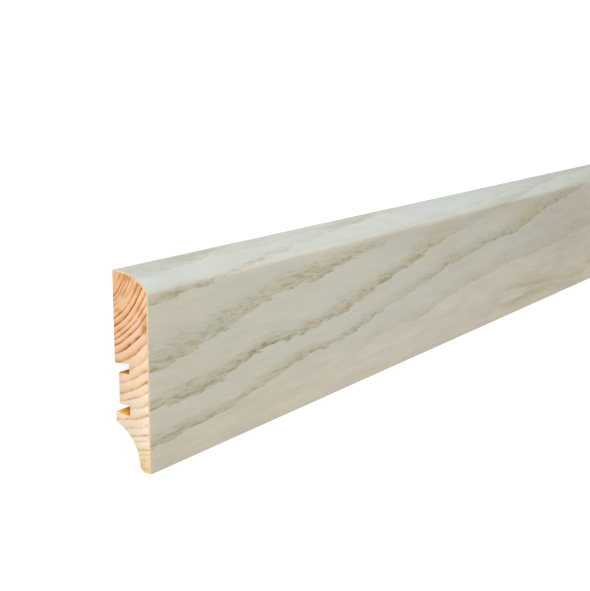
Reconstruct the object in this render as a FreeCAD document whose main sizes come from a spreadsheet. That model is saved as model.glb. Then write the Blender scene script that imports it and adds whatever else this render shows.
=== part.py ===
import FreeCAD, Part
import math
import os
import Sketcher

# A length of veneered skirting board: a softwood core moulded to section, with one thin sheet of
# oak veneer wrapped over its face, its rounded top and its top edge. It lies on its back.
# X runs along the board, Y from the foot to the top edge, Z from the back to the face.
# The origin is under the middle of the board, in the plane of its back.

SIZES = [
    # the board as sold
    ("board_length", 2200),
    ("board_height", 70),
    ("board_thickness", 16),
    ("veneer_thickness", 0.6),
    # the rounded shoulder: a slow curve off the top edge, then a tight one into the face
    ("shoulder_radius", 16),
    ("shoulder_turn", 49),
    ("nose_radius", 2.2),
    # the channel in the back that a wall clip snaps into: two undercut notches and a set-back rib
    ("clip_mouth", 17.3),
    ("clip_rib", 11.3),
    ("clip_recess", 1.9),
    ("notch_depth", 6.7),
    ("notch_undercut", 0.8),
    # the strip below the channel that bears on the wall
    ("bearing_strip", 4),
    # the cove at the foot that leaves room for a cable
    ("cove_height", 15.9),
    ("cove_radius", 15),
    ("foot_thickness", 5.1),
    ("foot_round", 2.8),
    # the moulder's softened edges on the back
    ("arris_round", 0.6),
]

doc = FreeCAD.newDocument("skirting_board_length")
sheet = doc.addObject("Spreadsheet::Sheet", "sizes")
for row, (alias, value) in enumerate(SIZES, start=1):
    sheet.set("A%d" % row, alias.replace("_", " "))
    sheet.set("B%d" % row, str(value))
    sheet.setAlias("B%d" % row, alias)
doc.recompute()

ORIGIN = -1
START, END = 1, 2
NEAR = 1e-4


def size(alias):
    """The number that the sheet holds under this alias."""
    return float(sheet.get(alias))


def new_body(name):
    """A body named for its piece."""
    body = doc.addObject("PartDesign::Body", name)
    body.Label = name
    return body


def end_sketch(body, name):
    """A sketch across the board at its near end: x is the height above the foot, y the depth from the back."""
    sketch = body.newObject("Sketcher::SketchObject", name)
    plane = [item for item in body.Origin.OriginFeatures if item.Role == "YZ_Plane"][0]
    sketch.AttachmentSupport = [(plane, "")]
    sketch.MapMode = "FlatFace"
    sketch.setExpression("AttachmentOffset.Base.x", "-sizes.board_height / 2")
    sketch.setExpression("AttachmentOffset.Base.z", "-sizes.board_length / 2")
    return sketch


def bind(sketch, index, name, expression):
    """Names a constraint and ties its value to the sheet."""
    sketch.renameConstraint(index, name)
    sketch.setExpression("Constraints." + name, expression)


def place(sketch, geometry, end, name, height=None, depth=None):
    """Ties one end of a line to a height above the foot and a depth from the back."""
    for kind, axis, expression in (("DistanceX", "height", height), ("DistanceY", "depth", depth)):
        if expression is not None:
            value = sketch.evalExpression(expression)
            index = sketch.addConstraint(Sketcher.Constraint(kind, ORIGIN, 1, geometry, end, float(value)))
            bind(sketch, index, "%s_%s" % (name, axis), expression)


def line(sketch, start, end):
    """One straight edge between two points of the section."""
    return sketch.addGeometry(Part.LineSegment(FreeCAD.Vector(*start, 0), FreeCAD.Vector(*end, 0)), False)


def arc(sketch, centre, radius, first, last):
    """One round edge about a centre, from the first angle to the last, counter-clockwise."""
    circle = Part.Circle(FreeCAD.Vector(*centre, 0), FreeCAD.Vector(0, 0, 1), radius)
    return sketch.addGeometry(Part.ArcOfCircle(circle, first, last), False)


def join(sketch, first, second):
    """Makes an end of one edge and an end of another the same point."""
    sketch.addConstraint(Sketcher.Constraint("Coincident", *first, *second))


def outer_run(sketch, name, inset):
    """The face, the shoulder and the top edge as one smooth run, set in from the outside.

    The inset is an expression. Returns the face's line and the top edge's line.
    """
    gap = float(sketch.evalExpression(inset))
    turn = math.radians(size("shoulder_turn"))
    top = size("board_height") - gap
    face = size("board_thickness") - gap
    wide = size("shoulder_radius") - gap
    tight = size("nose_radius") - gap
    nose_depth = face - tight
    wide_depth = nose_depth - (wide - tight) * math.sin(turn)
    wide_height = top - wide
    nose_height = wide_height + (wide - tight) * math.cos(turn)

    face_line = line(sketch, (0, face), (nose_height, face))
    nose = arc(sketch, (nose_height, nose_depth), tight, turn, math.pi / 2)
    shoulder = arc(sketch, (wide_height, wide_depth), wide, 0, turn)
    top_line = line(sketch, (top, wide_depth), (top, 0))

    for first, second in (((face_line, END), (nose, END)),
                          ((nose, START), (shoulder, END)),
                          ((shoulder, START), (top_line, START))):
        sketch.addConstraint(Sketcher.Constraint("Tangent", *first, *second))
    place(sketch, face_line, START, name + "_face", "0", "sizes.board_thickness - " + inset)
    place(sketch, top_line, END, name + "_top", "sizes.board_height - " + inset, "0")
    sketch.addConstraint(Sketcher.Constraint("Horizontal", face_line))
    for edge, alias in ((nose, "nose_radius"), (shoulder, "shoulder_radius")):
        index = sketch.addConstraint(Sketcher.Constraint("Radius", edge, tight if edge == nose else wide))
        bind(sketch, index, "%s_%s" % (name, alias), "sizes.%s - %s" % (alias, inset))
    index = sketch.addConstraint(Sketcher.Constraint("Angle", shoulder, turn))
    bind(sketch, index, name + "_turn", "sizes.shoulder_turn * 1 deg")
    return face_line, top_line


def pad_along(body, sketch, name):
    """Runs a section the whole length of the board."""
    pad = body.newObject("PartDesign::Pad", name)
    pad.Profile = sketch
    pad.setExpression("Length", "sizes.board_length")
    sketch.Visibility = False
    doc.recompute()
    return pad


def cut_along(body, sketch, name):
    """Cuts a section out of the whole length of the board."""
    before = body.Shape.Volume
    pocket = body.newObject("PartDesign::Pocket", name)
    pocket.Profile = sketch
    pocket.Type = "ThroughAll"
    pocket.Reversed = True
    sketch.Visibility = False
    doc.recompute()
    assert body.Shape.Volume < before, "%s removed nothing" % name
    return pocket


def long_edges(shape, places):
    """The names of the edges that run along the board at the given heights and depths."""
    names = []
    for number, edge in enumerate(shape.Edges, start=1):
        ends = [vertex.Point for vertex in edge.Vertexes]
        if len(ends) < 2 or abs(ends[0].x - ends[1].x) < NEAR:
            continue
        spot = (ends[0].y + size("board_height") / 2, ends[0].z)
        if any(math.dist(spot, wanted) < NEAR for wanted in places):
            names.append("Edge%d" % number)
    assert len(names) == len(places), "%d of %d edges found" % (len(names), len(places))
    return names


def round_edges(body, feature, name, places, alias):
    """Rounds edges that run along the board to a radius of the sheet."""
    fillet = body.newObject("PartDesign::Fillet", name)
    fillet.Base = (feature, long_edges(feature.Shape, places))
    fillet.setExpression("Radius", "sizes." + alias)
    doc.recompute()
    return fillet


def core_blank(body):
    """The softwood blank: the board's outline less the veneer."""
    sketch = end_sketch(body, "core_section")
    face_line, top_line = outer_run(sketch, "core", "sizes.veneer_thickness")
    top = size("board_height") - size("veneer_thickness")
    face = size("board_thickness") - size("veneer_thickness")
    back = line(sketch, (top, 0), (0, 0))
    underside = line(sketch, (0, 0), (0, face))
    join(sketch, (top_line, END), (back, START))
    join(sketch, (back, END), (underside, START))
    join(sketch, (underside, END), (face_line, START))
    join(sketch, (back, END), (ORIGIN, 1))
    return pad_along(body, sketch, "core_blank")


def clip_channel(body):
    """The channel for the wall clips: a set-back rib between two notches that widen inwards."""
    low = "sizes.cove_height + sizes.bearing_strip"
    high = low + " + sizes.clip_mouth"
    rib_low = low + " + (sizes.clip_mouth - sizes.clip_rib) / 2"
    rib_high = high + " - (sizes.clip_mouth - sizes.clip_rib) / 2"
    corners = [
        ("low_mouth", low, "0"),
        ("low_heel", low + " - sizes.notch_undercut", "sizes.notch_depth"),
        ("low_toe", rib_low, "sizes.notch_depth"),
        ("low_lip", rib_low, "sizes.clip_recess"),
        ("high_lip", rib_high, "sizes.clip_recess"),
        ("high_toe", rib_high, "sizes.notch_depth"),
        ("high_heel", high + " + sizes.notch_undercut", "sizes.notch_depth"),
        ("high_mouth", high, "0"),
    ]
    sketch = end_sketch(body, "clip_section")
    points = [(float(sketch.evalExpression(height)), float(sketch.evalExpression(depth)))
              for _, height, depth in corners]
    edges = [line(sketch, point, points[(i + 1) % len(points)]) for i, point in enumerate(points)]
    for i, (name, height, depth) in enumerate(corners):
        join(sketch, (edges[i - 1], END), (edges[i], START))
        place(sketch, edges[i], START, name, height, depth)
    return cut_along(body, sketch, "clip_channel")


def cable_cove(body):
    """The hollow behind the foot: a round cut from the back to the underside."""
    high = size("cove_height")
    deep = size("board_thickness") - size("foot_thickness")
    radius = size("cove_radius")
    half = math.hypot(high, deep) / 2
    rise = math.sqrt(radius ** 2 - half ** 2)
    # The centre lies off the middle of the chord, on the side of the corner that is cut away.
    centre = (high / 2 - rise * deep / (2 * half), deep / 2 - rise * high / (2 * half))
    first = math.atan2(0 - centre[1], high - centre[0])
    last = math.atan2(deep - centre[1], 0 - centre[0])
    sketch = end_sketch(body, "cove_section")
    hollow = arc(sketch, centre, radius, first, last)
    underside = line(sketch, (0, deep), (0, 0))
    back = line(sketch, (0, 0), (high, 0))
    join(sketch, (hollow, END), (underside, START))
    join(sketch, (underside, END), (back, START))
    join(sketch, (back, END), (hollow, START))
    join(sketch, (underside, END), (ORIGIN, 1))
    place(sketch, hollow, START, "cove_top", "sizes.cove_height", "0")
    place(sketch, hollow, END, "cove_foot", "0", "sizes.board_thickness - sizes.foot_thickness")
    index = sketch.addConstraint(Sketcher.Constraint("Radius", hollow, radius))
    bind(sketch, index, "cove_round", "sizes.cove_radius")
    return cut_along(body, sketch, "cable_cove")


def pine_core():
    """The solid softwood core, moulded on all sides."""
    body = new_body("pine_core")
    core_blank(body)
    clip_channel(body)
    cove = cable_cove(body)
    foot_corner = [(0, size("board_thickness") - size("foot_thickness"))]
    foot = round_edges(body, cove, "foot_rounding", foot_corner, "foot_round")
    strip_low = size("cove_height")
    strip_high = strip_low + size("bearing_strip")
    arrises = [(strip_low, 0), (strip_high, 0), (strip_high + size("clip_mouth"), 0)]
    round_edges(body, foot, "back_arrises", arrises, "arris_round")
    return body


def oak_veneer():
    """The veneer: one thin sheet from the foot, over the face and the shoulder, to the back of the top edge."""
    body = new_body("oak_veneer")
    sketch = end_sketch(body, "veneer_section")
    outer_face, outer_top = outer_run(sketch, "outer", "0")
    inner_face, inner_top = outer_run(sketch, "inner", "sizes.veneer_thickness")
    top = size("board_height")
    face = size("board_thickness")
    sheet_edge = size("veneer_thickness")
    back_edge = line(sketch, (top, 0), (top - sheet_edge, 0))
    foot_edge = line(sketch, (0, face - sheet_edge), (0, face))
    join(sketch, (outer_top, END), (back_edge, START))
    join(sketch, (back_edge, END), (inner_top, END))
    join(sketch, (inner_face, START), (foot_edge, START))
    join(sketch, (foot_edge, END), (outer_face, START))
    pad_along(body, sketch, "veneer_sheet")
    return body


pieces = [pine_core(), oak_veneer()]
doc.recompute()

for item in doc.Objects:
    bad = {"Invalid", "Error"} & set(item.State)
    assert not bad, "%s is %s" % (item.Name, ", ".join(sorted(bad)))
for piece in pieces:
    assert not piece.Shape.isNull() and piece.Shape.isValid(), "%s has no valid shape" % piece.Label
    assert len(piece.Shape.Solids) == 1, "%s is not one solid" % piece.Label

os.makedirs("parts", exist_ok=True)
for piece in pieces:
    piece.Shape.exportStep("parts/%s.step" % piece.Label)
    box = piece.Shape.BoundBox
    print("%s: %.1f x %.1f x %.1f mm, %.1f cm3" % (
        piece.Label, box.XLength, box.YLength, box.ZLength, piece.Shape.Volume / 1000))
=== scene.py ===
import bpy
import math
import numpy as np
from mathutils import Matrix, Vector


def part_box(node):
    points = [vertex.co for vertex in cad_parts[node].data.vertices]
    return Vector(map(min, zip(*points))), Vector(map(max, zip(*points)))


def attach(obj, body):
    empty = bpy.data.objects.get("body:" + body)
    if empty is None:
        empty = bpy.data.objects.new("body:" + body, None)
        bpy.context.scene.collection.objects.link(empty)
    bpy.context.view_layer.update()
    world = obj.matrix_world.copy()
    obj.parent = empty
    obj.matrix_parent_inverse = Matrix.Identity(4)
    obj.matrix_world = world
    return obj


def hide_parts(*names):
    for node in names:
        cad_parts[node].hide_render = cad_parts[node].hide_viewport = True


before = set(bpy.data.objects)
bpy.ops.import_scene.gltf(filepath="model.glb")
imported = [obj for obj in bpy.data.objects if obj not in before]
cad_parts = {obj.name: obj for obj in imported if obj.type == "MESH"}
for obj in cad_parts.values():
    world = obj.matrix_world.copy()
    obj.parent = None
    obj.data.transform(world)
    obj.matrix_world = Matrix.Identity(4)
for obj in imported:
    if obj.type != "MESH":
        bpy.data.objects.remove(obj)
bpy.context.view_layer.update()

# A length of veneered skirting board lying on its back: +X along it, +Y from the foot to the rounded
# top edge, +Z from the back to the veneered face. Metres, unless a name says millimetres.
MM = 0.001

core_low, core_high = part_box("pine_core")
sheet_low, sheet_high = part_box("oak_veneer")
HALF_LENGTH = sheet_high.x
FOOT = sheet_low.y
HEIGHT = sheet_high.y - sheet_low.y
THICKNESS = sheet_high.z - core_low.z
VENEER = sheet_high.z - core_high.z

# the rounded shoulder: a slow curve off the top edge, then a tight one into the face
SHOULDER_RADIUS = 16 * MM
SHOULDER_TURN = math.radians(49)
NOSE_RADIUS = 2.2 * MM
# the channel in the back for the wall clips
CLIP_MOUTH = 17.3 * MM
CLIP_RIB = 11.3 * MM
CLIP_RECESS = 1.9 * MM
NOTCH_DEPTH = 6.7 * MM
NOTCH_UNDERCUT = 0.8 * MM
BEARING_STRIP = 4 * MM
# the cove at the foot that leaves room for a cable
COVE_HEIGHT = 15.9 * MM
COVE_RADIUS = 15 * MM
FOOT_THICKNESS = 5.1 * MM
FOOT_ROUND = 2.8 * MM
ARRIS_ROUND = 0.6 * MM
# what cutters and sandpaper leave on an edge that looks sharp, as one does that turns more than SHARP_TURN
SHARP_EDGE = 0.12 * MM
SAWN_EDGE = 0.08 * MM
SHARP_TURN = math.radians(25)
# the most of a side that the rounding of a corner takes up, and how many steps a sawn edge's rounding has
CORNER_REACH = 0.45
SAWN_STEPS = 2
# how far apart the points of a section are on each of its stretches, at most
FACE_STEP = 1.6 * MM
NOSE_STEP = 0.25 * MM
SHOULDER_STEP = 0.6 * MM
TOP_STEP = 0.8 * MM
COVE_STEP = 0.5 * MM
FOOT_STEP = 0.3 * MM
ARRIS_STEP = 0.15 * MM
# how far apart the sections are along the board; the veneer's carry its figure, so they are closer
CORE_STATION = 20 * MM
VENEER_STATION = 5 * MM
# which of a piece's materials is on its walls, on its sawn ends, and on the walls of the core's channel
WALL, END, CHANNEL = 0, 1, 2
# a point this near to a plane of the channel counts as on it
CLOSE = 0.3 * MM

# the camera, from a fit to the photograph's straight edges
CAMERA_AT = Vector((-1.35996, 0.10917, 0.25953))
CAMERA_AIM = Vector((0.79622, -0.22229, -0.56269))
CAMERA_UP = Vector((0.17590, 0.97493, -0.13624))
FOCAL_PIXELS = 1093.2
PICTURE_WIDTH = 590
SENSOR_MM = 36


def set_camera():
    """The photograph's viewpoint, with the picture's upright along the board's own height."""
    data = bpy.data.cameras.new("camera")
    data.sensor_fit = "HORIZONTAL"
    data.sensor_width = SENSOR_MM
    data.lens = SENSOR_MM * FOCAL_PIXELS / PICTURE_WIDTH
    data.clip_start, data.clip_end = 0.01, 100
    camera = bpy.data.objects.new("camera", data)
    bpy.context.scene.collection.objects.link(camera)
    right = CAMERA_AIM.cross(CAMERA_UP)
    turn = Matrix((right, CAMERA_UP, -CAMERA_AIM)).transposed()
    camera.matrix_world = Matrix.Translation(CAMERA_AT) @ turn.to_4x4()
    bpy.context.scene.camera = camera


# Shape. A section is an array of points (height above the foot, depth from the back).


def arc(centre, radius, first, last, step):
    """Points on a circle: the centre plus radius times (cosine, sine) of an angle from first to last."""
    count = max(4, math.ceil(abs(last - first) * radius / step) + 1)
    angle = np.linspace(first, last, count)
    return np.column_stack((centre[0] + radius * np.cos(angle), centre[1] + radius * np.sin(angle)))


def straight(start, end, step):
    """Evenly spaced points from start to end."""
    start, end = np.array(start), np.array(end)
    count = max(2, math.ceil(np.linalg.norm(end - start) / step) + 1)
    return start + (end - start) * np.linspace(0, 1, count)[:, None]


def outer_run(inset):
    """From the foot up the face, round the tight nose and the slow shoulder, and back along the top edge.

    Both arcs keep their centres as the run is set in, so their radii shrink by the inset and the run stays
    smooth.
    """
    top, face = HEIGHT, THICKNESS
    nose_depth = face - NOSE_RADIUS
    wide_depth = nose_depth - (SHOULDER_RADIUS - NOSE_RADIUS) * math.sin(SHOULDER_TURN)
    wide_height = top - SHOULDER_RADIUS
    nose_height = wide_height + (SHOULDER_RADIUS - NOSE_RADIUS) * math.cos(SHOULDER_TURN)
    # the steps shrink with the radius, so that every inset has the same number of points
    nose = arc((nose_height, nose_depth), NOSE_RADIUS - inset, math.pi / 2, SHOULDER_TURN,
               NOSE_STEP * (NOSE_RADIUS - inset) / NOSE_RADIUS)
    shoulder = arc((wide_height, wide_depth), SHOULDER_RADIUS - inset, SHOULDER_TURN, 0,
                   SHOULDER_STEP * (SHOULDER_RADIUS - inset) / SHOULDER_RADIUS)
    rise = straight((0, face - inset), (nose_height, face - inset), FACE_STEP)
    shelf = straight((top - inset, wide_depth), (top - inset, 0), TOP_STEP)
    return np.vstack((rise, nose[1:], shoulder[1:], shelf[1:]))


def cove_run():
    """From the back plane round the cove to the underside of the foot, with both its edges rounded.

    The cove is an arc through (COVE_HEIGHT, 0) and (0, THICKNESS - FOOT_THICKNESS). A rounding of radius r
    that touches it and a flat has its centre r above the flat and COVE_RADIUS + r from the cove's centre.
    """
    deep = THICKNESS - FOOT_THICKNESS
    half = math.hypot(COVE_HEIGHT, deep) / 2
    rise = math.sqrt(COVE_RADIUS ** 2 - half ** 2)
    high = COVE_HEIGHT / 2 - rise * deep / (2 * half)
    out = deep / 2 - rise * COVE_HEIGHT / (2 * half)
    arris_up = math.sqrt((COVE_RADIUS + ARRIS_ROUND) ** 2 - (ARRIS_ROUND - out) ** 2)
    arris_turn = math.atan2(ARRIS_ROUND - out, arris_up)
    foot_up = math.sqrt((COVE_RADIUS + FOOT_ROUND) ** 2 - (FOOT_ROUND - high) ** 2)
    foot_turn = math.atan2(foot_up, FOOT_ROUND - high)
    arris = arc((high + arris_up, ARRIS_ROUND), ARRIS_ROUND, -math.pi / 2, arris_turn - math.pi, ARRIS_STEP)
    hollow = arc((high, out), COVE_RADIUS, arris_turn, foot_turn, COVE_STEP)
    foot = arc((FOOT_ROUND, out + foot_up), FOOT_ROUND, foot_turn - math.pi, -math.pi, FOOT_STEP)
    return np.vstack((arris, hollow[1:], foot[1:]))


def softened(loop, radius, steps=4):
    """The closed loop with each sharp corner made a small round.

    Each corner P becomes the quadratic Bezier curve from P - t*in over P to P + t*out, where in and out are
    the unit directions of its two edges, and t is the radius times the tangent of half the turn, but never
    more than CORNER_REACH of either edge. radius may be one value or one for each point.
    """
    before, after = loop - np.roll(loop, 1, 0), np.roll(loop, -1, 0) - loop
    span_in, span_out = np.linalg.norm(before, axis=1), np.linalg.norm(after, axis=1)
    way_in, way_out = before / span_in[:, None], after / span_out[:, None]
    turn = np.arccos(np.clip((way_in * way_out).sum(1), -1, 1))
    sharp = turn > SHARP_TURN
    reach = np.minimum(radius * np.tan(turn / 2), CORNER_REACH * np.minimum(span_in, span_out)) * sharp
    first = loop - way_in * reach[:, None]
    last = loop + way_out * reach[:, None]
    s = np.linspace(0, 1, steps)[None, :, None]
    curve = (1 - s) ** 2 * first[:, None] + 2 * s * (1 - s) * loop[:, None] + s ** 2 * last[:, None]
    keep = np.zeros((len(loop), steps), bool)
    keep[:, 0] = True
    keep[sharp] = True
    return curve[keep]


def core_section():
    """The core's closed loop: under the veneer from foot to top, then down the back by channel and cove."""
    front = outer_run(VENEER)
    low = COVE_HEIGHT + BEARING_STRIP
    high = low + CLIP_MOUTH
    rib_low = (low + high - CLIP_RIB) / 2
    rib_high = (low + high + CLIP_RIB) / 2
    channel = [(high, 0), (high + NOTCH_UNDERCUT, NOTCH_DEPTH), (rib_high, NOTCH_DEPTH),
               (rib_high, CLIP_RECESS), (rib_low, CLIP_RECESS), (rib_low, NOTCH_DEPTH),
               (low - NOTCH_UNDERCUT, NOTCH_DEPTH), (low, 0)]
    cove = cove_run()
    loop = np.vstack((front, channel, cove))
    radius = np.full(len(loop), SHARP_EDGE)
    radius[[len(front), len(front) + len(channel) - 1]] = ARRIS_ROUND
    return softened(loop, radius)


def in_channel(section):
    """Which walls of the core's section are the channel's.

    They are those whose first point lies off the back plane, no deeper than the notches, and within their
    heights.
    """
    height, depth = section.T
    middle = COVE_HEIGHT + BEARING_STRIP + CLIP_MOUTH / 2
    reach = CLIP_MOUTH / 2 + NOTCH_UNDERCUT + CLOSE
    return (np.abs(height - middle) < reach) & (depth > CLOSE) & (depth < NOTCH_DEPTH + CLOSE)


def veneer_section():
    """The veneer's closed loop: its outer run from the foot, then its inner run back to the foot."""
    return softened(np.vstack((outer_run(0), outer_run(VENEER)[::-1])), SHARP_EDGE)


def set_in(loop, distance):
    """The loop moved inwards: each point goes along the mean of its two edges' normals, by distance."""
    ahead = np.roll(loop, -1, 0) - loop
    ahead /= np.linalg.norm(ahead, axis=1)[:, None]
    behind = np.roll(ahead, 1, 0)
    mean = ahead + behind
    mean /= np.linalg.norm(mean, axis=1)[:, None]
    inward = np.column_stack((-mean[:, 1], mean[:, 0]))
    if np.sum(loop[:, 0] * np.roll(loop[:, 1], -1) - loop[:, 1] * np.roll(loop[:, 0], -1)) < 0:
        inward = -inward
    return loop + inward * distance


def stations(step):
    """Places along the board and how far the section is set in there: a quarter round at each sawn end."""
    angle = np.linspace(0, math.pi / 2, SAWN_STEPS + 1)
    along = HALF_LENGTH - SAWN_EDGE * (1 - np.sin(angle))
    inset = SAWN_EDGE * (1 - np.cos(angle))
    middle = np.linspace(-along[0], along[0], math.ceil(2 * along[0] / step) + 1)
    return (np.concatenate((-along[::-1], middle[1:-1], along)),
            np.concatenate((inset[::-1], np.zeros(len(middle) - 2), inset)))


def moulded(name, loop, step, finish, sheet_ends=False):
    """A piece run through the moulder: the section loop carried along X, closed by two sawn ends.

    Point j of the section at station i goes to (X of station i, height - half the board, depth). finish
    holds the material number of each wall from point j to j + 1. A sheet's ends are strips of quads between
    point j and its partner across the sheet; other ends are one face each.
    """
    along, inset = stations(step)
    rings = np.array([set_in(loop, distance) for distance in inset])
    n, m = rings.shape[:2]
    points = np.empty((n, m, 3))
    points[..., 0] = along[:, None]
    points[..., 1] = rings[..., 0] + FOOT
    points[..., 2] = rings[..., 1]
    i, j = np.meshgrid(np.arange(n - 1), np.arange(m), indexing="ij")
    k = (j + 1) % m
    walls = np.stack((i * m + j, i * m + k, (i + 1) * m + k, (i + 1) * m + j), -1).reshape(-1, 4)
    if sheet_ends:
        a = np.arange(m // 2 - 1)
        strip = np.column_stack((a, m - 1 - a, m - 2 - a, a + 1))
        ends = strip.tolist() + (strip[:, ::-1] + (n - 1) * m).tolist()
    else:
        ends = [list(range(m))[::-1], list(range((n - 1) * m, n * m))]
    mesh = bpy.data.meshes.new(name)
    mesh.from_pydata(points.reshape(-1, 3), [], walls.tolist() + ends)
    mesh.polygons.foreach_set("material_index", np.concatenate(
        (np.tile(finish, n - 1), np.full(len(ends), END))).astype(np.int32))
    piece = bpy.data.objects.new(name, mesh)
    bpy.context.scene.collection.objects.link(piece)
    face_outwards(mesh)
    return piece, points


def face_outwards(mesh):
    """Turns every face round if the closed mesh's volume, summed over its triangles, comes out negative."""
    mesh.calc_loop_triangles()
    corners = np.empty(len(mesh.vertices) * 3)
    mesh.vertices.foreach_get("co", corners)
    index = np.empty(len(mesh.loop_triangles) * 3, np.int32)
    mesh.loop_triangles.foreach_get("vertices", index)
    a, b, c = corners.reshape(-1, 3)[index.reshape(-1, 3)].transpose(1, 0, 2)
    if np.sum(a * np.cross(b, c)) < 0:
        mesh.flip_normals()
    mesh.shade_smooth()
    mesh.set_sharp_from_angle(angle=SHARP_TURN)


# The oak's figure. The sheet is sliced past the heart of the log, at SLICE_DEPTH from it. Its heart line
# wanders across the board and sags towards the foot in one place, and the log tapers by TAPER along it. All
# in millimetres: along from the near end, across from the back of the top edge.
HEART_MIDDLE, HEART_SWING, HEART_PERIOD, HEART_START = 45, 60, 3600, 400
HEART_SAG, SAG_AT, SAG_LENGTH = 26, 450, 120
SLICE_DEPTH = 20
TAPER = 0.044
RING_RADII = (-110, -97, -88, -76, -66, -58, -47, -36, -28, -16, -5, 7.6, 16.5, 27.9, 39.3, 56.3, 73.5, 92,
              108)
# the share of each ring that is porous early wood, and how strongly it shows where no course says so
POROUS = 0.4
SHOWING = 0.75
# how far before its first point a course sets in, how far past its last it runs out, and the least width
# that its neighbours leave to a band
FADE_IN, FADE_OUT = 40, 60
LEAST_GAP = 0.6
# where in a ring the next one's strength starts to take over, and over how much of the ring it does
HAND_OVER, HAND_OVER_SPAN = 0.6, 0.3
# the rings that show best near the near end: the ring's index in RING_RADII, then points of (along, where
# its sharp edge is across, where its porous band ends across, how strongly the band shows)
RING_COURSES = (
    (11, ((200, 76, 76, 0), (240, 72, 72, 0), (270, 69, 68, 0.2), (283, 66.6, 64.6, 0.4),
          (290, 66.2, 63.6, 0.6), (300, 67, 63.8, 0.75), (310, 68.2, 65, 0.8), (320, 69.2, 65.8, 0.8),
          (330, 70, 66.6, 0.75), (345, 71.2, 68, 0.6), (360, 72.4, 69.4, 0.5), (380, 74.4, 71.6, 0.4),
          (400, 76.2, 73.6, 0.3))),
    (12, ((0, 86, 82, 0.08), (60, 83, 79.5, 0.08), (100, 74, 70, 0.05), (125, 68.5, 65, 0.1),
          (150, 63.5, 60, 0.15), (170, 62.5, 58.5, 0.2), (185, 62.5, 57.5, 0.35), (198, 61.5, 57, 0.35),
          (212, 58.5, 53.5, 0.35), (230, 55.5, 49.5, 0.35),
          (245, 54.3, 47, 0.45), (260, 54, 46, 0.35), (285, 51.5, 43, 0.35), (300, 51.5, 43, 0.4),
          (328, 51.5, 43.5, 0.4), (350, 49.5, 41, 0.45), (380, 46, 39, 0.4), (415, 44, 37, 0.5))),
    (13, ((0, 71.8, 67.7, 0.75), (20, 70.2, 66.2, 0.8), (40, 68.8, 66, 0.7), (50, 67.6, 65, 0.75),
          (58, 66, 62.6, 0.7), (70, 64.2, 60.2, 0.9), (80, 62, 58.6, 0.9), (90, 60.3, 56.6, 1),
          (97, 59.6, 56, 0.9), (107, 58.8, 56.6, 0.4), (116, 59.2, 56.4, 0.5), (125, 57.8, 55, 0.75),
          (135, 56.4, 53, 0.7), (150, 53.2, 48.6, 0.6), (160, 51.2, 46.6, 0.5), (172, 49.2, 44.6, 0.55),
          (184, 47.6, 42.6, 0.55), (195, 46.2, 41.2, 0.6), (203, 44.2, 40.2, 0.6), (213, 41.8, 37.6, 0.8),
          (224, 40.8, 35.8, 0.8), (236, 39.6, 35, 0.7), (246, 38.8, 32.8, 0.85), (254, 37, 31.6, 0.85),
          (268, 36.4, 31.4, 0.9), (284, 35.6, 29, 0.85), (293, 36, 27, 1), (300, 34.2, 25, 1),
          (310, 32, 23.6, 1), (320, 29.2, 21, 1), (332, 27.2, 20.5, 0.95), (345, 25.2, 19, 1),
          (358, 23.4, 17.6, 1), (370, 22.2, 16.4, 1), (380, 20.4, 15, 0.8), (396, 17, 12, 0.5),
          (420, 13, 8.4, 0.5), (450, 9, 4.5, 0.4))),
    (14, ((0, 58, 54.4, 0.9), (10, 58.8, 53.6, 1), (20, 58.6, 52.4, 0.9), (30, 57.8, 51.8, 0.9),
          (40, 56, 51, 0.9), (50, 53.4, 48.6, 1), (60, 51, 47.4, 1), (68, 49.2, 45.8, 1),
          (78, 50, 46.4, 0.9), (88, 50.2, 46.4, 1), (100, 49.4, 46, 1), (108, 48, 44.2, 0.8),
          (116, 47.8, 40.6, 0.85), (124, 47, 39.2, 0.9), (132, 44, 39, 0.85), (142, 42, 38.6, 0.9),
          (151, 40.2, 35, 1), (156, 39.2, 34.4, 1), (166, 36.6, 33, 0.9), (176, 35, 29.5, 0.9),
          (185, 33.6, 26.5, 1), (192, 31.4, 24, 0.8), (199, 29.6, 21.6, 0.8), (208, 28.4, 20.6, 0.6),
          (220, 26.6, 19.6, 0.45), (236, 24.6, 19, 0.35), (255, 21.8, 16.5, 0.25), (268, 19, 14.4, 0.35),
          (290, 17, 12.2, 0.45), (312, 14.6, 9.6, 0.5), (340, 11, 6, 0.5), (370, 7.6, 2.5, 0.35),
          (400, 4.5, -1, 0.3))),
    (15, ((0, 44.8, 34, 1), (10, 44.4, 34, 1), (20, 41.8, 33.2, 1), (30, 39.2, 31, 0.8),
          (40, 37.4, 29.6, 0.8), (50, 35, 28, 0.8), (60, 32.6, 25.6, 0.85), (70, 30.2, 25, 0.8),
          (80, 28.4, 23.6, 0.85), (95, 27.6, 22.2, 0.9), (106, 27, 21.4, 0.85), (116, 25.6, 20.6, 0.8),
          (128, 23.8, 19.8, 0.9), (140, 22.2, 19, 0.6), (152, 20.8, 17.6, 0.35), (180, 18.5, 15, 0.15),
          (220, 16, 12.5, 0.12), (265, 14.6, 11, 0.2), (310, 10.5, 6.5, 0.3), (345, 6, 2.5, 0.3),
          (390, 2, -2, 0.3))),
    (16, ((0, 21, 19, 1), (10, 20.6, 18.4, 1), (18, 20, 17.8, 0.8), (28, 19.2, 17.2, 0.5),
          (38, 18.4, 16.8, 0.4), (50, 17, 15.6, 0.35), (62, 15.6, 14.2, 0.5), (72, 14.4, 13.4, 0.4),
          (90, 12.2, 10.4, 0.25), (106, 10.6, 8, 0.2), (120, 9, 5, 0.35), (140, 8, 2, 0.4),
          (155, 5, -1, 0.45), (165, 2, -4, 0.4), (180, -3, -8, 0.3))),
    (17, ((0, 10.4, 4, 0.35), (18, 9.6, 2, 0.45), (32, 8.4, 0, 0.45), (45, 5, -3, 0.4), (60, 1, -7, 0.3))),
)
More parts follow.
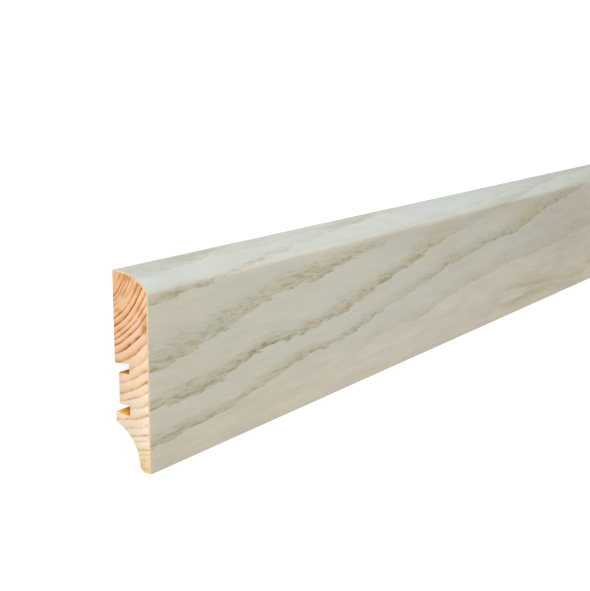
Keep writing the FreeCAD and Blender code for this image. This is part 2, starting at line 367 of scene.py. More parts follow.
# how warm the wood is, from 0 to 1, at the top edge, how much warmer at the foot, and where the change
# starts and over how much of the sheet it goes
TOP_WARMTH, FOOT_WARMTH = 0.25, 0.35
WARMS_FROM, WARMS_OVER = 40, 35
# slow changes of tone near the near end: (along, across), half lengths of the patch along and across, and
# how much warmer or cooler and lighter or darker its middle is. Not all are the wood's tone: the darker ones
# just under the nose are painted shade, those on the flat top edge are painted shade that makes it darker
# and warmer, and the last is a painted highlight, a paler strip along the nose
TONE_AND_PAINTED_LIGHT_PATCHES = (
    ((10, 27), (28, 5), 0.25, 0.0), ((15, 50), (40, 45), 0, -0.03), ((85, 38), (70, 9), -0.2, 0.01),
    ((60, 55), (60, 4), -0.2, 0.0), ((40, 24), (25, 4), -0.2, -0.03), ((150, 67), (40, 4), 0.1, 0.04),
    # painted shade: the patches at 190 and 275 along darken strips just under the nose
    ((190, 23), (40, 5), 0.0, -0.12), ((225, 38), (28, 9), 0.15, -0.08), ((275, 20), (50, 4.5), 0.0, -0.14),
    ((120, 53), (60, 4), -0.2, 0.01), ((205, 23), (22, 5), 0.5, 0.0), ((215, 45), (50, 10), 0.2, 0.0),
    ((300, 25), (22, 6), 0.5, -0.02), ((30, 76), (45, 5), 0.2, 0.0), ((150, 73), (90, 9), 0.0, 0.03),
    ((235, 62), (50, 8), 0.2, 0.02), ((320, 56), (45, 4), 0.2, 0.03), ((300, 79), (60, 4), 0.6, 0.0),
    ((330, 68), (28, 3), 0.6, -0.03), ((400, 72), (60, 8), 0.3, -0.01), ((365, 34), (80, 16), 0.5, -0.18),
    # painted shade: the patches at 400, 150 and 38 along, 4 across, make the flat top edge darker and warmer
    ((470, 45), (70, 40), 0.4, -0.05), ((440, 25), (60, 8), 0.3, -0.04), ((400, 4), (110, 10), 0.8, -0.17),
    ((150, 4), (32, 5), 1.3, -0.06), ((38, 4), (36, 5), 1.2, -0.08), ((370, 58), (50, 12), 0.25, -0.08),
    # the last patch is a painted highlight: a paler strip along the nose
    ((368, 19.5), (20, 3), 0.0, -0.08), ((150, 18.4), (170, 0.7), 0.0, 0.09),
)

# the wash has filled the pores here and there: points of (along, how open they are)
OPEN_PORES = ((0, 1), (140, 1), (230, 0.6), (330, 0.5), (560, 0.5), (800, 0.9), (1100, 0.5), (1500, 0.9),
              (2200, 0.8))
# and where it has filled them all: the middle of the patch, its half lengths, and the share that is filled
FILLED_AT, FILLED_SPREAD, FILLED_SHARE = (340, 70), (100, 14), 0.9
# how deep an open pore is, how large the raw edge's specks are drawn, and a clear lacquer's index
PORE_DEPTH = 0.06 * MM
EDGE_SPECK = 1.2 * MM
LACQUER_IOR = 1.5


def ring_radius(along, across):
    """The radius of the growth ring at a place on the sheet.

    The heart line lies at HEART_MIDDLE plus HEART_SWING times a cosine along the board, and sags by
    HEART_SAG about SAG_AT. The radius is the hypotenuse of the way across from it and SLICE_DEPTH, less the
    taper.
    """
    heart = (HEART_MIDDLE + HEART_SWING * np.cos(2 * np.pi * (along + HEART_START) / HEART_PERIOD)
             + HEART_SAG * np.exp(-((along - SAG_AT) / SAG_LENGTH) ** 2))
    return np.hypot(heart - across, SLICE_DEPTH) - TAPER * along


def growth(along, across):
    """The ring number and how strongly its band shows, at each station along by each place across.

    Ring i's sharp edge is number i, and its porous band ends at i + POROUS. Each of these is a knot: a
    radius, moved at every station by what the ring's course is off there, which fades out past the course's
    ends. The number at a place is linear in its radius between two knots. Late in a ring the next ring's
    strength takes over, so that no band changes strength at its sharp edge.
    """
    count = len(RING_RADII)
    numbers = np.sort(np.concatenate((np.arange(count), np.arange(count - 1) + POROUS)))
    knots = np.interp(numbers, np.arange(count), RING_RADII)[:, None] + 0 * along
    showing = np.full((count, len(along)), SHOWING)
    for ring, points in RING_COURSES:
        place, edge, other, strength = np.array(points, float).T
        reach = np.concatenate(([place[0] - FADE_IN], place, [place[-1] + FADE_OUT]))
        for row, side in ((2 * ring, edge), (2 * ring + 1, other)):
            off = ring_radius(place, side) - knots[row, 0]
            knots[row] += np.interp(along, reach, [0, *off, 0])
        showing[ring] = np.interp(along, reach, [SHOWING, *strength, SHOWING])
    apart = LEAST_GAP * np.arange(len(knots))[:, None]
    knots = np.maximum.accumulate(knots - apart, axis=0) + apart

    radius = ring_radius(along[:, None], across)
    number = np.zeros_like(radius)
    for low, high, rise in zip(knots, knots[1:], np.diff(numbers)):
        number += rise * np.clip((radius - low[:, None]) / (high - low)[:, None], 0, 1)
    ring = np.minimum(number.astype(int), count - 2)
    share = np.clip((number - ring - HAND_OVER) / HAND_OVER_SPAN, 0, 1)
    here, above = (np.take_along_axis(showing.T, r, 1) for r in (ring, ring + 1))
    return number, here + (above - here) * share


def bell(along, across, middle, spread):
    """1 in the middle of a patch, and around it e to the minus squared distance, counted in spreads."""
    return np.exp(-((along - middle[0]) / spread[0]) ** 2 - ((across - middle[1]) / spread[1]) ** 2)


def tone(along, across):
    """Warmth and lightness: warmer to the foot, with the patches laid over as bells, painted light among
    them.
    """
    warmth = TOP_WARMTH + FOOT_WARMTH * np.clip((across - WARMS_FROM) / WARMS_OVER, 0, 1) + 0 * along
    light = np.ones_like(warmth)
    for middle, spread, warm, bright in TONE_AND_PAINTED_LIGHT_PATCHES:
        patch = bell(along, across, middle, spread)
        warmth += warm * patch
        light += bright * patch
    return warmth, light


def give_sheet_places(piece, points, section):
    """Writes three attributes to the veneer's points: "sheet" (along, across, ring number), "figure" (how
    strongly the band shows, warmth, lightness) and "open_pores", from OPEN_PORES less the filled patch.

    across is the distance run over the section's outer or inner side, from the back of the top edge, so the
    figure goes over the shoulder without a break. The inner side takes the outer side's values.
    """
    half = len(section) // 2
    steps = np.linalg.norm(np.diff(section[:half], axis=0), axis=1)
    run = np.concatenate(([0], np.cumsum(steps)))
    across = (run[-1] - run) / MM
    across = np.concatenate((across, across[::-1]))
    along = (points[:, 0, 0] + HALF_LENGTH) / MM
    number, strength = growth(along, across)
    along, across = np.meshgrid(along, across, indexing="ij")
    filled = FILLED_SHARE * bell(along, across, FILLED_AT, FILLED_SPREAD)
    pores = np.interp(along, *np.transpose(OPEN_PORES)) * (1 - filled)
    attribute = piece.data.attributes.new("open_pores", "FLOAT", "POINT")
    attribute.data.foreach_set("value", pores.astype(np.float32).ravel())
    for name, values in (("sheet", (along, across, number)), ("figure", (strength, *tone(along, across)))):
        attribute = piece.data.attributes.new(name, "FLOAT_VECTOR", "POINT")
        attribute.data.foreach_set("vector", np.stack(values, -1).astype(np.float32).ravel())


# Materials


def linear(colour):
    """An sRGB hex colour as linear RGBA."""
    parts = [int(colour[i:i + 2], 16) / 255 for i in (1, 3, 5)]
    return (*[p / 12.92 if p <= 0.04045 else ((p + 0.055) / 1.055) ** 2.4 for p in parts], 1)


def add(tree, kind, inputs=None, stops=None, **settings):
    """Adds one node: its own settings, its inputs as values or as sockets to link, and a ramp's stops."""
    node = tree.nodes.new(kind)
    for name, value in settings.items():
        setattr(node, name, value)
    if stops:
        ramp = node.color_ramp
        while len(ramp.elements) < len(stops):
            ramp.elements.new(0.5)
        for element, (place, value) in zip(ramp.elements, stops):
            element.position = place
            element.color = linear(value) if isinstance(value, str) else (value, value, value, 1)
    for key, value in (inputs or {}).items():
        socket = node.inputs[key]
        if isinstance(value, bpy.types.NodeSocket):
            tree.links.new(value, socket)
        else:
            socket.default_value = value
    return node


def new_material(name):
    """An empty node material and its tree."""
    material = bpy.data.materials.new(name)
    material.use_nodes = True
    material.node_tree.nodes.clear()
    return material, material.node_tree


# The oak's patterns are noise: each one's name, its grains' length along and height across in millimetres,
# and its detail. Each is cut from its own slice of the noise, SLICE_APART from the last, so that none
# follows another.
OAK_NOISE = (
    ("rag", 11, 2.2, 3), ("stretch", 90, 16, 1), ("patch", 16, 3, 2), ("pore", 6, 1.2, 2),
    ("fleck", 6, 1.1, 2), ("drift", 120, 18, 2), ("mottle", 22, 4, 3), ("fibre", 40, 1.4, 2),
    ("hue", 12, 4, 2),
)
SLICE_APART = 4.3
# the noise that leaves a ring's edge in its place, and how many rings one more would move it
RAG_MIDDLE, RAG_REACH = 0.4, 0.5
# the power that the grain's unevenness is raised to, and what warmth adds to it: warm wood is more mottled
UNEVEN, UNEVEN_WARM = 0.8, 2.0
# the most that a band's stain, its pale flecks and its dark pores each cover what lies under them
STAIN_COVER, FLECK_COVER, PORE_COVER = 0.92, 0.5, 0.7


def oak_bands(tree, noise, ring, strength, opened):
    """How much of a ring's porous early wood shows at a place, and how much dense late wood there is."""
    # the ring's edge wanders within about a third of a ring, and less where the pores are filled
    rag = add(tree, "ShaderNodeMath", {0: noise["rag"], 1: RAG_MIDDLE}, operation="SUBTRACT")
    rag = add(tree, "ShaderNodeMath", {0: rag.outputs[0], 1: opened}, operation="MULTIPLY")
    wavy = add(tree, "ShaderNodeMath", {0: rag.outputs[0], 1: RAG_REACH, 2: ring}, operation="MULTIPLY_ADD")
    phase = add(tree, "ShaderNodeMath", {0: wavy.outputs[0]}, operation="FRACT")
    # the porous early wood starts at once at the ring's edge and thins out through it
    porous = add(tree, "ShaderNodeValToRGB", {"Fac": phase.outputs[0]},
                 stops=((0, 0.8), (0.02, 1), (0.1, 0.9), (0.22, 0.6), (0.36, 0.35), (0.5, 0), (0.98, 0),
                        (1, 0.8)))
    dense = add(tree, "ShaderNodeValToRGB", {"Fac": phase.outputs[0]},
                stops=((0, 0), (0.55, 0), (0.9, 1), (0.98, 1), (1, 0)))
    # a ring shows more or less in stretches, and its stain is patchy
    showing = add(tree, "ShaderNodeMapRange", {"Value": noise["stretch"], "From Min": 0.35, "From Max": 0.6,
                                               "To Min": 0.7, "To Max": 1.05})
    share = add(tree, "ShaderNodeMath", {0: showing.outputs[0], 1: strength}, operation="MULTIPLY")
    band = add(tree, "ShaderNodeMath", {0: porous.outputs["Color"], 1: share.outputs[0]},
               operation="MULTIPLY")
    patchy = add(tree, "ShaderNodeMapRange", {"Value": noise["patch"], "From Min": 0.35, "From Max": 0.6,
                                              "To Min": 0.6, "To Max": 1})
    body = add(tree, "ShaderNodeMath", {0: band.outputs[0], 1: patchy.outputs[0]}, operation="MULTIPLY")
    return body.outputs[0], dense.outputs["Color"]


def oak_plain_wood(tree, noise, warmth, light, dense):
    """The colour between the bands: slow drifts of tone, faint mottling and fainter straight grain."""
    drift = add(tree, "ShaderNodeMapRange", {"Value": noise["drift"], "From Min": 0.3, "From Max": 0.7,
                                             "To Min": -0.25, "To Max": 0.25})
    warm = add(tree, "ShaderNodeMath", {0: warmth, 1: drift.outputs[0]}, operation="ADD", use_clamp=True)
    colour = add(tree, "ShaderNodeMix", {0: warm.outputs[0], 6: linear("#BEBBAB"), 7: linear("#C6B9A2")},
                 data_type="RGBA")
    mottle = add(tree, "ShaderNodeMapRange", {"Value": noise["mottle"], "From Min": 0.3, "From Max": 0.7,
                                              "To Min": 0.97, "To Max": 1.03})
    fibre = add(tree, "ShaderNodeMapRange", {"Value": noise["fibre"], "From Min": 0.3, "From Max": 0.7,
                                             "To Min": 0.985, "To Max": 1.015})
    level = add(tree, "ShaderNodeMath", {0: mottle.outputs[0], 1: fibre.outputs[0]}, operation="MULTIPLY")
    unevenness = add(tree, "ShaderNodeMath", {0: warm.outputs[0], 1: UNEVEN_WARM, 2: UNEVEN},
                     operation="MULTIPLY_ADD")
    level = add(tree, "ShaderNodeMath", {0: level.outputs[0], 1: unevenness.outputs[0]}, operation="POWER")
    rim = add(tree, "ShaderNodeMapRange", {"Value": dense, "To Min": 1, "To Max": 1.015})
    level = add(tree, "ShaderNodeMath", {0: level.outputs[0], 1: rim.outputs[0]}, operation="MULTIPLY")
    # times the sheet's lightness, which carries the patches' painted shade and painted highlight
    level = add(tree, "ShaderNodeMath", {0: level.outputs[0], 1: light}, operation="MULTIPLY")
    plain = add(tree, "ShaderNodeVectorMath", {0: colour.outputs[2], "Scale": level.outputs[0]},
                operation="SCALE")
    return plain.outputs[0]


def whitewashed_oak():
    """Sliced oak veneer, brushed, whitewashed and sealed with a matt clear lacquer.

    The eye sees smooth grey-beige wood, crossed by broad diagonal bands where the open pores keep an olive
    to red-brown tone in clustered dashes, with a ragged lower edge. The rounded shoulder has a soft sheen.
    """
    material, tree = new_material("oak_veneer_whitewashed_matt_lacquer")
    sheet = add(tree, "ShaderNodeAttribute", attribute_name="sheet").outputs["Vector"]
    ring = add(tree, "ShaderNodeSeparateXYZ", {0: sheet}).outputs["Z"]
    figure = add(tree, "ShaderNodeAttribute", attribute_name="figure")
    strength, warmth, light = add(tree, "ShaderNodeSeparateXYZ", {0: figure.outputs["Vector"]}).outputs
    opened = add(tree, "ShaderNodeAttribute", attribute_name="open_pores").outputs["Fac"]
    noise = {}
    for slice_number, (name, long, high, detail) in enumerate(OAK_NOISE):
        place = add(tree, "ShaderNodeVectorMath", {
            0: sheet, 1: (1 / long, 1 / high, 0), 2: (0, 0, SLICE_APART * slice_number)},
            operation="MULTIPLY_ADD")
        noise[name] = add(tree, "ShaderNodeTexNoise", {
            "Vector": place.outputs[0], "Scale": 1, "Detail": detail, "Roughness": 0.6}).outputs["Fac"]
    body, dense = oak_bands(tree, noise, ring, strength, opened)
    plain = oak_plain_wood(tree, noise, warmth, light, dense)

    # open pores run together into dashes, drawn a little coarse so that they show, with pale flecks between
    dash = add(tree, "ShaderNodeMapRange", {"Value": noise["pore"], "From Min": 0.48, "From Max": 0.62})
    fleck = add(tree, "ShaderNodeMapRange", {"Value": noise["fleck"], "From Min": 0.56, "From Max": 0.64})
    open_body = add(tree, "ShaderNodeMath", {0: body, 1: opened}, operation="MULTIPLY")
    pores = add(tree, "ShaderNodeMath", {0: dash.outputs[0], 1: open_body.outputs[0]}, operation="MULTIPLY")
    flecks = add(tree, "ShaderNodeMath", {0: fleck.outputs[0], 1: open_body.outputs[0]},
                 operation="MULTIPLY")

    # the bands are olive, here and there red-brown
    hue = add(tree, "ShaderNodeMapRange", {"Value": noise["hue"], "From Min": 0.5, "From Max": 0.72})
    stain = add(tree, "ShaderNodeMix", {0: hue.outputs[0], 6: linear("#A19B79"), 7: linear("#AE9874")},
                data_type="RGBA")
    mark = add(tree, "ShaderNodeMix", {0: hue.outputs[0], 6: linear("#7A7046"), 7: linear("#8A6D4A")},
               data_type="RGBA")
    tint = add(tree, "ShaderNodeMath", {0: body, 1: STAIN_COVER}, operation="MULTIPLY")
    stained = add(tree, "ShaderNodeMix", {0: tint.outputs[0], 6: plain, 7: stain.outputs[2]},
                  data_type="RGBA")
    pale = add(tree, "ShaderNodeMath", {0: flecks.outputs[0], 1: FLECK_COVER}, operation="MULTIPLY")
    flecked = add(tree, "ShaderNodeMix", {0: pale.outputs[0], 6: stained.outputs[2], 7: linear("#CCC2AC")},
                  data_type="RGBA")
    deep = add(tree, "ShaderNodeMath", {0: pores.outputs[0], 1: PORE_COVER}, operation="MULTIPLY")
    colour = add(tree, "ShaderNodeMix", {0: deep.outputs[0], 6: flecked.outputs[2], 7: mark.outputs[2]},
                 data_type="RGBA")

    rough = add(tree, "ShaderNodeMapRange", {"Value": pores.outputs[0], "To Min": 0.6, "To Max": 0.72})
    relief = add(tree, "ShaderNodeMath", {0: pores.outputs[0], 1: -1.0}, operation="MULTIPLY")
    bump = add(tree, "ShaderNodeBump", {"Height": relief.outputs[0], "Strength": 0.3,
                                        "Distance": PORE_DEPTH})
    surface = add(tree, "ShaderNodeBsdfPrincipled", {
        "Base Color": colour.outputs[2], "Roughness": rough.outputs[0], "IOR": LACQUER_IOR,
        "Normal": bump.outputs[0]})
    add(tree, "ShaderNodeOutputMaterial", {"Surface": surface.outputs[0]})
    return material


def raw_oak_edge():
    """The veneer's cut edge: raw pale oak, one sheet thick, straight from the saw.

    The eye sees a thin cream line, a little speckled. The specks are drawn coarse, so that they show.
    """
    material, tree = new_material("oak_raw_sawn_edge")
    at = add(tree, "ShaderNodeTexCoord").outputs["Object"]
    speck = add(tree, "ShaderNodeTexNoise", {"Vector": at, "Scale": 1 / EDGE_SPECK, "Detail": 2})
    colour = add(tree, "ShaderNodeValToRGB", {"Fac": speck.outputs["Fac"]},
                 stops=((0.3, "#E6CBA4"), (0.7, "#F6E2C2")))
    surface = add(tree, "ShaderNodeBsdfPrincipled", {
        "Base Color": colour.outputs["Color"], "Roughness": 0.8})
    add(tree, "ShaderNodeOutputMaterial", {"Surface": surface.outputs[0]})
    return material


# The log that the core comes from: the heart lies behind and above the board's back top corner, and wanders
# up and down along the board, as a sine of WANDER_RATE radians a metre. Below BEND_FROM the rings flatten,
# by RING_BEND at the foot's front. Noise moves them all, by about a quarter of RING_WAVER either way.
PITH_HEIGHT = 79.4 * MM
PITH_DEPTH = -18.0 * MM
PITH_WANDER = 3 * MM
WANDER_RATE = 5.2
RING_BEND = 4.0 * MM
BEND_FROM = 45 * MM
RING_WAVER = 0.9 * MM
# each growth ring is the radius of its dark edge in millimetres and how strongly that shows: narrow strong
# rings near the top edge, wide ones through the middle
PINE_RINGS = (
    (22.2, 0.5), (24.4, 0.6), (26.3, 0.9), (27.4, 0.9), (28.8, 0.7), (30.6, 0.5), (32.5, 1), (34.7, 1),
    (36.9, 0.8), (38.6, 1), (40.6, 0.9), (43.3, 1), (46.6, 0.65), (50.2, 0.4), (53.1, 0.5), (56.4, 0.75),
    (59.0, 0.65), (62.2, 0.6), (65.4, 0.85), (68.4, 0.4), (70.9, 0.95), (72.6, 0.4), (75.3, 0.7),
    (76.8, 0.45), (78.4, 0.6), (81.5, 0.5),
)
# on the ends: (height, depth) of the middle of a patch, its half widths, how much stronger or weaker the
# rings are in it, and how much resin stains it all over; in millimetres. A patch ends at PATCH_REACH
# half widths.
RING_PATCHES = (
    ((59.2, 3.6), (2.8, 2.6), -0.9, 0), ((66.5, 1), (4, 1.6), -0.7, 0), ((51, 14.2), (1.9, 1.7), 0.2, 0.85),
    ((54.4, 14.4), (3, 1.8), 0.1, 0.5), ((58, 12), (2.4, 1.8), 0.3, 0.3),
    ((64.6, 10.8), (2, 1.9), 0.3, 0.45), ((66.4, 12), (0.9, 0.9), 0.2, 0.8),
    ((68, 6.6), (1.6, 3), 0.1, 0.6), ((62, 4.6), (1.6, 1.8), 0, 0.4), ((56, 2.5), (1.2, 1.4), 0, 0.4),
    ((47.8, 11.6), (1.2, 1.8), 0.6, 0), ((44.8, 7), (0.8, 1.5), 0.5, 0), ((44, 12), (1, 1.4), 0.3, 0),
    ((38.3, 1.3), (0.8, 1.4), 0.2, 0.35), ((36.6, 14.2), (1.2, 2), 0.3, 0.3),
    ((32.6, 14.7), (0.7, 1.4), 0.1, 0.5), ((24.8, 6.5), (0.7, 1.4), 0.2, 0),
    ((13.4, 14.3), (0.9, 2), 0.4, 0.2), ((2.6, 11.6), (0.9, 0.6), 0, 0.4), ((3, 13), (2.6, 1.6), 0, 0.12),
)
PATCH_REACH = 1.5
# the amber of wood that resin has soaked
RESIN = "#C48A3A"
# The pine's patterns are noise: each one's name, its grains' length along the board and width across it in
# millimetres, and its detail. The rings waver and come and go, the fibres are specks where they are cut
# across and long streaks where they are not, and some of the wood is pinker and some yellower. The fibres
# are drawn far coarser than they are, so that they show.
PINE_NOISE = (
    ("waver", 100, 5, 2), ("going", 125, 4, 2), ("fibre", 25, 0.5556, 3), ("blush", 83.33, 2.083, 2),
)
# Where the wood's colour is given, from the heart outwards: the heartwood is peach, the sapwood towards the
# foot is cream, and the outermost wood yellower again. Each surface has a row for its early, one for its
# warm and one for its dark wood.
PINE_ZONES = (0, 0.35, 0.62, 0.85, 1)
PLANED = (
    ("#EFC795", "#F0CB9C", "#F0D4AC", "#F1DBB8", "#EFCF9F"),
    ("#E7B47A", "#E8B880", "#EBC999", "#EDD0A2", "#EBC68E"),
    ("#C68C4E", "#CC9557", "#D9AC74", "#DDB682", "#DDAE70"),
)
SAWN = (
    ("#EBBF8D", "#F7D9BE", "#FBEAD8", "#FBF4E4", "#F8DAA0"),
    ("#DF9049", "#EAA76B", "#F1C9A0", "#F4D2A4", "#F2C682"),
    ("#8C4A1A", "#9A5928", "#C98C55", "#DBA66C", "#D29854"),
)
# the channel's walls are a deeper yellow, painted shade and bounced light of the deep channel over the
# milled pine, and browner in the notch that is nearer the heart
MILLED_AND_PAINTED_SHADE = (
    ("#CF831F", "#CF831F", "#FECC4D", "#FECC4D", "#FECC4D"),
    ("#C37519", "#C37519", "#F0B53C", "#F0B53C", "#F0B53C"),
    ("#A96013", "#A96013", "#D0952E", "#D0952E", "#D0952E"),
)


def place_in_rings(tree, at, waver):
    """Where a point lies among PINE_RINGS by radius: 0 at the first, 1 at the last.

    The radius is the distance from the pith, which runs along the board and wanders, less the bend, which
    is RING_BEND times the depth as a share of the thickness, plus the waver.
    """
    x, y, z = add(tree, "ShaderNodeSeparateXYZ", {0: at}).outputs
    # the pith's wander: nothing at the near end, then PITH_WANDER either way
    turn = add(tree, "ShaderNodeMath", {0: x, 1: WANDER_RATE, 2: WANDER_RATE * HALF_LENGTH},
               operation="MULTIPLY_ADD")
    swing = add(tree, "ShaderNodeMath", {0: turn.outputs[0]}, operation="SINE")
    lift = add(tree, "ShaderNodeMath", {0: swing.outputs[0], 1: PITH_WANDER, 2: PITH_HEIGHT + FOOT},
               operation="MULTIPLY_ADD")
    up = add(tree, "ShaderNodeMath", {0: y, 1: lift.outputs[0]}, operation="SUBTRACT")
    deep = add(tree, "ShaderNodeMath", {0: z, 1: PITH_DEPTH}, operation="SUBTRACT")
    spoke = add(tree, "ShaderNodeCombineXYZ", {1: up.outputs[0], 2: deep.outputs[0]})
    distance = add(tree, "ShaderNodeVectorMath", {0: spoke.outputs[0]}, operation="LENGTH")
    # the bend grows with the depth, and from nothing at BEND_FROM above the foot to all at the foot
    lower = add(tree, "ShaderNodeMapRange", {"Value": y, "From Min": BEND_FROM + FOOT, "From Max": FOOT,
                                             "To Max": -RING_BEND / THICKNESS})
    flat = add(tree, "ShaderNodeMath", {0: lower.outputs[0], 1: z, 2: distance.outputs["Value"]},
               operation="MULTIPLY_ADD")
    off = add(tree, "ShaderNodeMath", {0: waver, 1: 0.5}, operation="SUBTRACT")
    radius = add(tree, "ShaderNodeMath", {0: off.outputs[0], 1: RING_WAVER, 2: flat.outputs[0]},
                 operation="MULTIPLY_ADD")
    scaled = add(tree, "ShaderNodeMapRange", {
        "Value": radius.outputs[0], "From Min": PINE_RINGS[0][0] * MM, "From Max": PINE_RINGS[-1][0] * MM})
    return scaled.outputs[0]


def lay_ring_patches(tree, at, share):
    """RING_PATCHES over the rings' strength: each is a bell round its middle, the same all along the board.

    Returns the strength with the patches in it and how much resin stains the wood.
    """
    stain = 0.0
    for (height, depth), (high, deep), more, resin in RING_PATCHES:
        away = add(tree, "ShaderNodeVectorMath", {
            0: at, 1: (0, 1 / (high * MM), 1 / (deep * MM)),
            2: (0, -(height + FOOT / MM) / high, -depth / deep)}, operation="MULTIPLY_ADD")
        off = add(tree, "ShaderNodeVectorMath", {0: away.outputs[0]}, operation="LENGTH")
        spot = add(tree, "ShaderNodeMapRange", {
            "Value": off.outputs["Value"], "From Min": PATCH_REACH, "From Max": 0},
            interpolation_type="SMOOTHSTEP")
        share = add(tree, "ShaderNodeMath", {0: spot.outputs[0], 1: more, 2: share},
                    operation="MULTIPLY_ADD").outputs[0]
        if resin:
            stain = add(tree, "ShaderNodeMath", {0: spot.outputs[0], 1: resin, 2: stain},
                        operation="MULTIPLY_ADD").outputs[0]
    return share, stain


def pine(name, colours, roughness, relief, spotted=False):
    """Scots pine, bare. The growth rings are one solid pattern, so the end and the sides belong together.

    The eye sees pale and dark lines in turn, as arcs on the end and as long streaks on the sides. A ring's
    number at a point is linear in its radius between PINE_RINGS. Through a year the pale early wood turns
    warm and at last dark, and then stops at once. colours holds the rows of the early, the warm and the dark
    wood, relief is how deep the grain is, and spotted lays RING_PATCHES over the rings.
    """
    material, tree = new_material(name)
    at = add(tree, "ShaderNodeTexCoord").outputs["Object"]
    noise = {}
    for pattern, long, wide, detail in PINE_NOISE:
        scaled = add(tree, "ShaderNodeVectorMath", {
            0: at, 1: (1 / (long * MM), 1 / (wide * MM), 1 / (wide * MM))}, operation="MULTIPLY")
        noise[pattern] = add(tree, "ShaderNodeTexNoise", {
            "Vector": scaled.outputs[0], "Scale": 1, "Detail": detail}).outputs["Fac"]
    place = place_in_rings(tree, at, noise["waver"])

    radii, strengths = np.transpose(PINE_RINGS).tolist()
    last = len(radii) - 1
    places = [(radius - radii[0]) / (radii[-1] - radii[0]) for radius in radii]
    years = add(tree, "ShaderNodeValToRGB", {"Fac": place},
                stops=[(edge, number / last) for number, edge in enumerate(places)])
    strong = add(tree, "ShaderNodeValToRGB", {"Fac": place}, stops=list(zip(places, strengths)))
    number = add(tree, "ShaderNodeMath", {0: years.outputs["Color"], 1: last}, operation="MULTIPLY")
    phase = add(tree, "ShaderNodeMath", {0: number.outputs[0]}, operation="FRACT")
    late = add(tree, "ShaderNodeValToRGB", {"Fac": phase.outputs[0]},
               stops=((0, 0.35), (0.06, 0), (0.35, 0.05), (0.6, 0.3), (0.76, 0.55), (0.86, 1), (0.96, 1),
                      (1, 0.35)))
    going = add(tree, "ShaderNodeMapRange", {"Value": noise["going"], "From Min": 0.35, "From Max": 0.65,
                                             "To Min": 0.6, "To Max": 1.1})
    share = add(tree, "ShaderNodeMath", {0: strong.outputs["Color"], 1: going.outputs[0]},
                operation="MULTIPLY").outputs[0]
    if spotted:
        share, stain = lay_ring_patches(tree, at, share)
    share = add(tree, "ShaderNodeMath", {0: share, 1: 0.0}, operation="MAXIMUM")
    ring = add(tree, "ShaderNodeMath", {0: late.outputs["Color"], 1: share.outputs[0]},
               operation="MULTIPLY", use_clamp=True)

    early, warm, dark = (add(tree, "ShaderNodeValToRGB", {"Fac": place}, stops=list(zip(PINE_ZONES, row)))
                         for row in colours)
    warming = add(tree, "ShaderNodeMapRange", {"Value": ring.outputs[0], "From Max": 0.5})
    darkening = add(tree, "ShaderNodeMapRange", {"Value": ring.outputs[0], "From Min": 0.5})
    colour = add(tree, "ShaderNodeMix", {0: warming.outputs[0], 6: early.outputs["Color"],
                                         7: warm.outputs["Color"]}, data_type="RGBA")
    colour = add(tree, "ShaderNodeMix", {0: darkening.outputs[0], 6: colour.outputs[2],
                                         7: dark.outputs["Color"]}, data_type="RGBA")
    if spotted:
        colour = add(tree, "ShaderNodeMix", {0: stain, 6: colour.outputs[2], 7: linear(RESIN)},
                     data_type="RGBA")
    mottle = add(tree, "ShaderNodeMapRange", {"Value": noise["fibre"], "From Min": 0.3, "From Max": 0.7,
                                              "To Min": 0.94, "To Max": 1.06})
    tints = add(tree, "ShaderNodeValToRGB", {"Fac": noise["blush"]},
                stops=((0.36, "#FFFBE6"), (0.5, "#FFFEF9"), (0.64, "#FFF4F7")))
    shade = add(tree, "ShaderNodeVectorMath", {0: colour.outputs[2], "Scale": mottle.outputs[0]},
                operation="SCALE")
    shade = add(tree, "ShaderNodeVectorMath", {0: shade.outputs[0], 1: tints.outputs["Color"]},
                operation="MULTIPLY")
    height = add(tree, "ShaderNodeMath", {0: ring.outputs[0], 1: 0.5, 2: noise["fibre"]},
                 operation="MULTIPLY_ADD")
    bump = add(tree, "ShaderNodeBump", {"Height": height.outputs[0], "Strength": 0.25, "Distance": relief})
    surface = add(tree, "ShaderNodeBsdfPrincipled", {
        "Base Color": shade.outputs[0], "Roughness": roughness, "Normal": bump.outputs[0]})
    add(tree, "ShaderNodeOutputMaterial", {"Surface": surface.outputs[0]})
    return material


# Stage

# the floor is a square FLOOR_HALF out from the middle; between the two distances of FLOOR_FADE, past the
# lamps' reach, the white that the camera sees goes from the first strength of FLOOR_WHITE to the second
FLOOR_HALF = 40
FLOOR_FADE = (1.5, 5)
FLOOR_WHITE = (0.9, 0.96)
WORLD_LIGHT = 0.3
# each softbox: name, where it stands, where it points, its width and height, the degrees that its grid
# lets the light spread, watts, colour
SOFTBOXES = (
    ("near_softbox", (-1.7, 0.8, 1.4), (-0.9, 0, 0), (1.0, 1.0), 180, 9, "#FFFFFF"),
    ("near_end_softbox", (-1.9, 0.4, 1.0), (-1.0, 0, 0), (0.8, 0.8), 180, 10, "#FFFFFF"),
    ("middle_softbox", (0.25, 0.3, 1.0), (0.25, 0, 0), (0.9, 0.5), 70, 0.75, "#FFFFFF"),
    ("far_end_softbox", (2.0, 0.7, 1.3), (0.7, 0, 0), (1.2, 1.2), 180, 16, "#FFFFFF"),
    ("cool_softbox", (0.0, 2.3, 0.5), (-0.4, 0, 0), (1.6, 0.9), 180, 36, "#A2D0FF"),
)


def shown(tree):
    """1 for what the camera sees straight, mirrored or through glass, and 0 for light on the object."""
    seen = add(tree, "ShaderNodeLightPath")
    mirrored = add(tree, "ShaderNodeMath", {
        0: seen.outputs["Is Camera Ray"], 1: seen.outputs["Is Glossy Ray"]}, operation="MAXIMUM")
    every = add(tree, "ShaderNodeMath", {
        0: mirrored.outputs[0], 1: seen.outputs["Is Transmission Ray"]}, operation="MAXIMUM")
    return every.outputs[0]


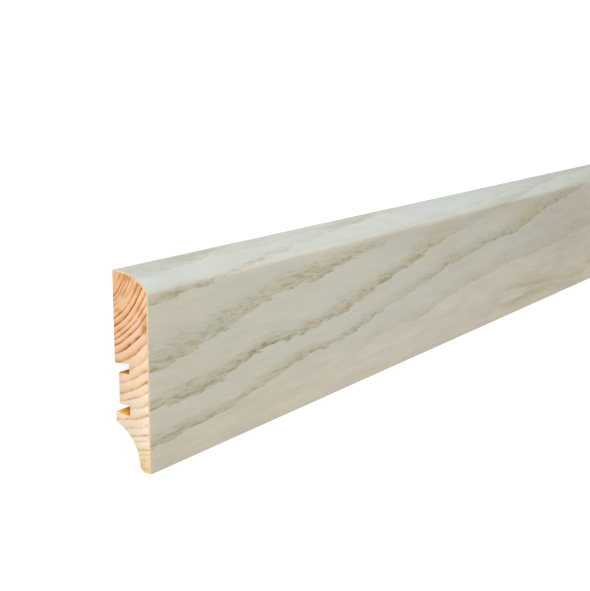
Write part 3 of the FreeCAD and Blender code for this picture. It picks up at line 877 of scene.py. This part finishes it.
def studio_floor():
    """A white floor: the camera sees it as white, less what the object shades, so that no horizon shows."""
    material, tree = new_material("floor_matt_white")
    plain = add(tree, "ShaderNodeBsdfDiffuse", {"Color": linear("#E7E7E7")})
    faint = add(tree, "ShaderNodeBsdfDiffuse", {"Color": linear("#7C7C7C")})
    at = add(tree, "ShaderNodeTexCoord").outputs["Object"]
    out = add(tree, "ShaderNodeVectorMath", {0: at}, operation="LENGTH")
    strength = add(tree, "ShaderNodeMapRange", {
        "Value": out.outputs["Value"], "From Min": FLOOR_FADE[0], "From Max": FLOOR_FADE[1],
        "To Min": FLOOR_WHITE[0], "To Max": FLOOR_WHITE[1]}, interpolation_type="SMOOTHSTEP")
    glow = add(tree, "ShaderNodeEmission", {"Color": linear("#FFFFFF"), "Strength": strength.outputs[0]})
    both = add(tree, "ShaderNodeAddShader", {0: faint.outputs[0], 1: glow.outputs[0]})
    surface = add(tree, "ShaderNodeMixShader", {0: shown(tree), 1: plain.outputs[0], 2: both.outputs[0]})
    add(tree, "ShaderNodeOutputMaterial", {"Surface": surface.outputs[0]})
    return material


def make_stage():
    """The floor, an even world and five soft lamps; the cool one gives the shoulder its sheen."""
    corners = [(-FLOOR_HALF, -FLOOR_HALF, 0), (FLOOR_HALF, -FLOOR_HALF, 0), (FLOOR_HALF, FLOOR_HALF, 0),
               (-FLOOR_HALF, FLOOR_HALF, 0)]
    mesh = bpy.data.meshes.new("floor")
    mesh.from_pydata(corners, [], [(0, 1, 2, 3)])
    mesh.materials.append(studio_floor())
    floor = bpy.data.objects.new("floor", mesh)
    bpy.context.scene.collection.objects.link(floor)

    world = bpy.data.worlds.new("studio")
    bpy.context.scene.world = world
    world.use_nodes = True
    tree = world.node_tree
    tree.nodes.clear()
    level = add(tree, "ShaderNodeMapRange", {"Value": shown(tree), "To Min": WORLD_LIGHT, "To Max": 1})
    sky = add(tree, "ShaderNodeBackground", {"Color": linear("#FFFFFF"), "Strength": level.outputs[0]})
    add(tree, "ShaderNodeOutputWorld", {"Surface": sky.outputs[0]})

    for name, place, aim, (wide, high), spread, watts, tint in SOFTBOXES:
        lamp = bpy.data.lights.new(name, "AREA")
        lamp.shape = "RECTANGLE"
        lamp.size, lamp.size_y = wide, high
        lamp.spread = math.radians(spread)
        lamp.energy = watts
        lamp.color = linear(tint)[:3]
        box = bpy.data.objects.new(name, lamp)
        bpy.context.scene.collection.objects.link(box)
        box.location = place
        box.rotation_euler = (Vector(aim) - Vector(place)).to_track_quat("-Z", "Y").to_euler()


set_camera()

# The softwood core
section = core_section()
core, _ = moulded("moulded_core", section, CORE_STATION, np.where(in_channel(section), CHANNEL, WALL))
core.data.materials.append(pine("pine_planed_moulded", PLANED, 0.6, 0.03 * MM))
core.data.materials.append(pine("pine_sawn_end_grain", SAWN, 0.85, 0.08 * MM, spotted=True))
# the channel's deeper yellow is painted shade and bounced light
core.data.materials.append(pine("pine_milled_channel_painted_shade", MILLED_AND_PAINTED_SHADE, 0.9, 0.03 * MM))
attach(core, "root")
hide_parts("pine_core")

# The veneer
section = veneer_section()
veneer, veneer_points = moulded("wrapped_veneer", section, VENEER_STATION, np.full(len(section), WALL),
                                sheet_ends=True)
give_sheet_places(veneer, veneer_points, section)
veneer.data.materials.append(whitewashed_oak())
veneer.data.materials.append(raw_oak_edge())
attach(veneer, "root")
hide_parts("oak_veneer")

make_stage()
bpy.context.scene.view_settings.view_transform = "Standard"
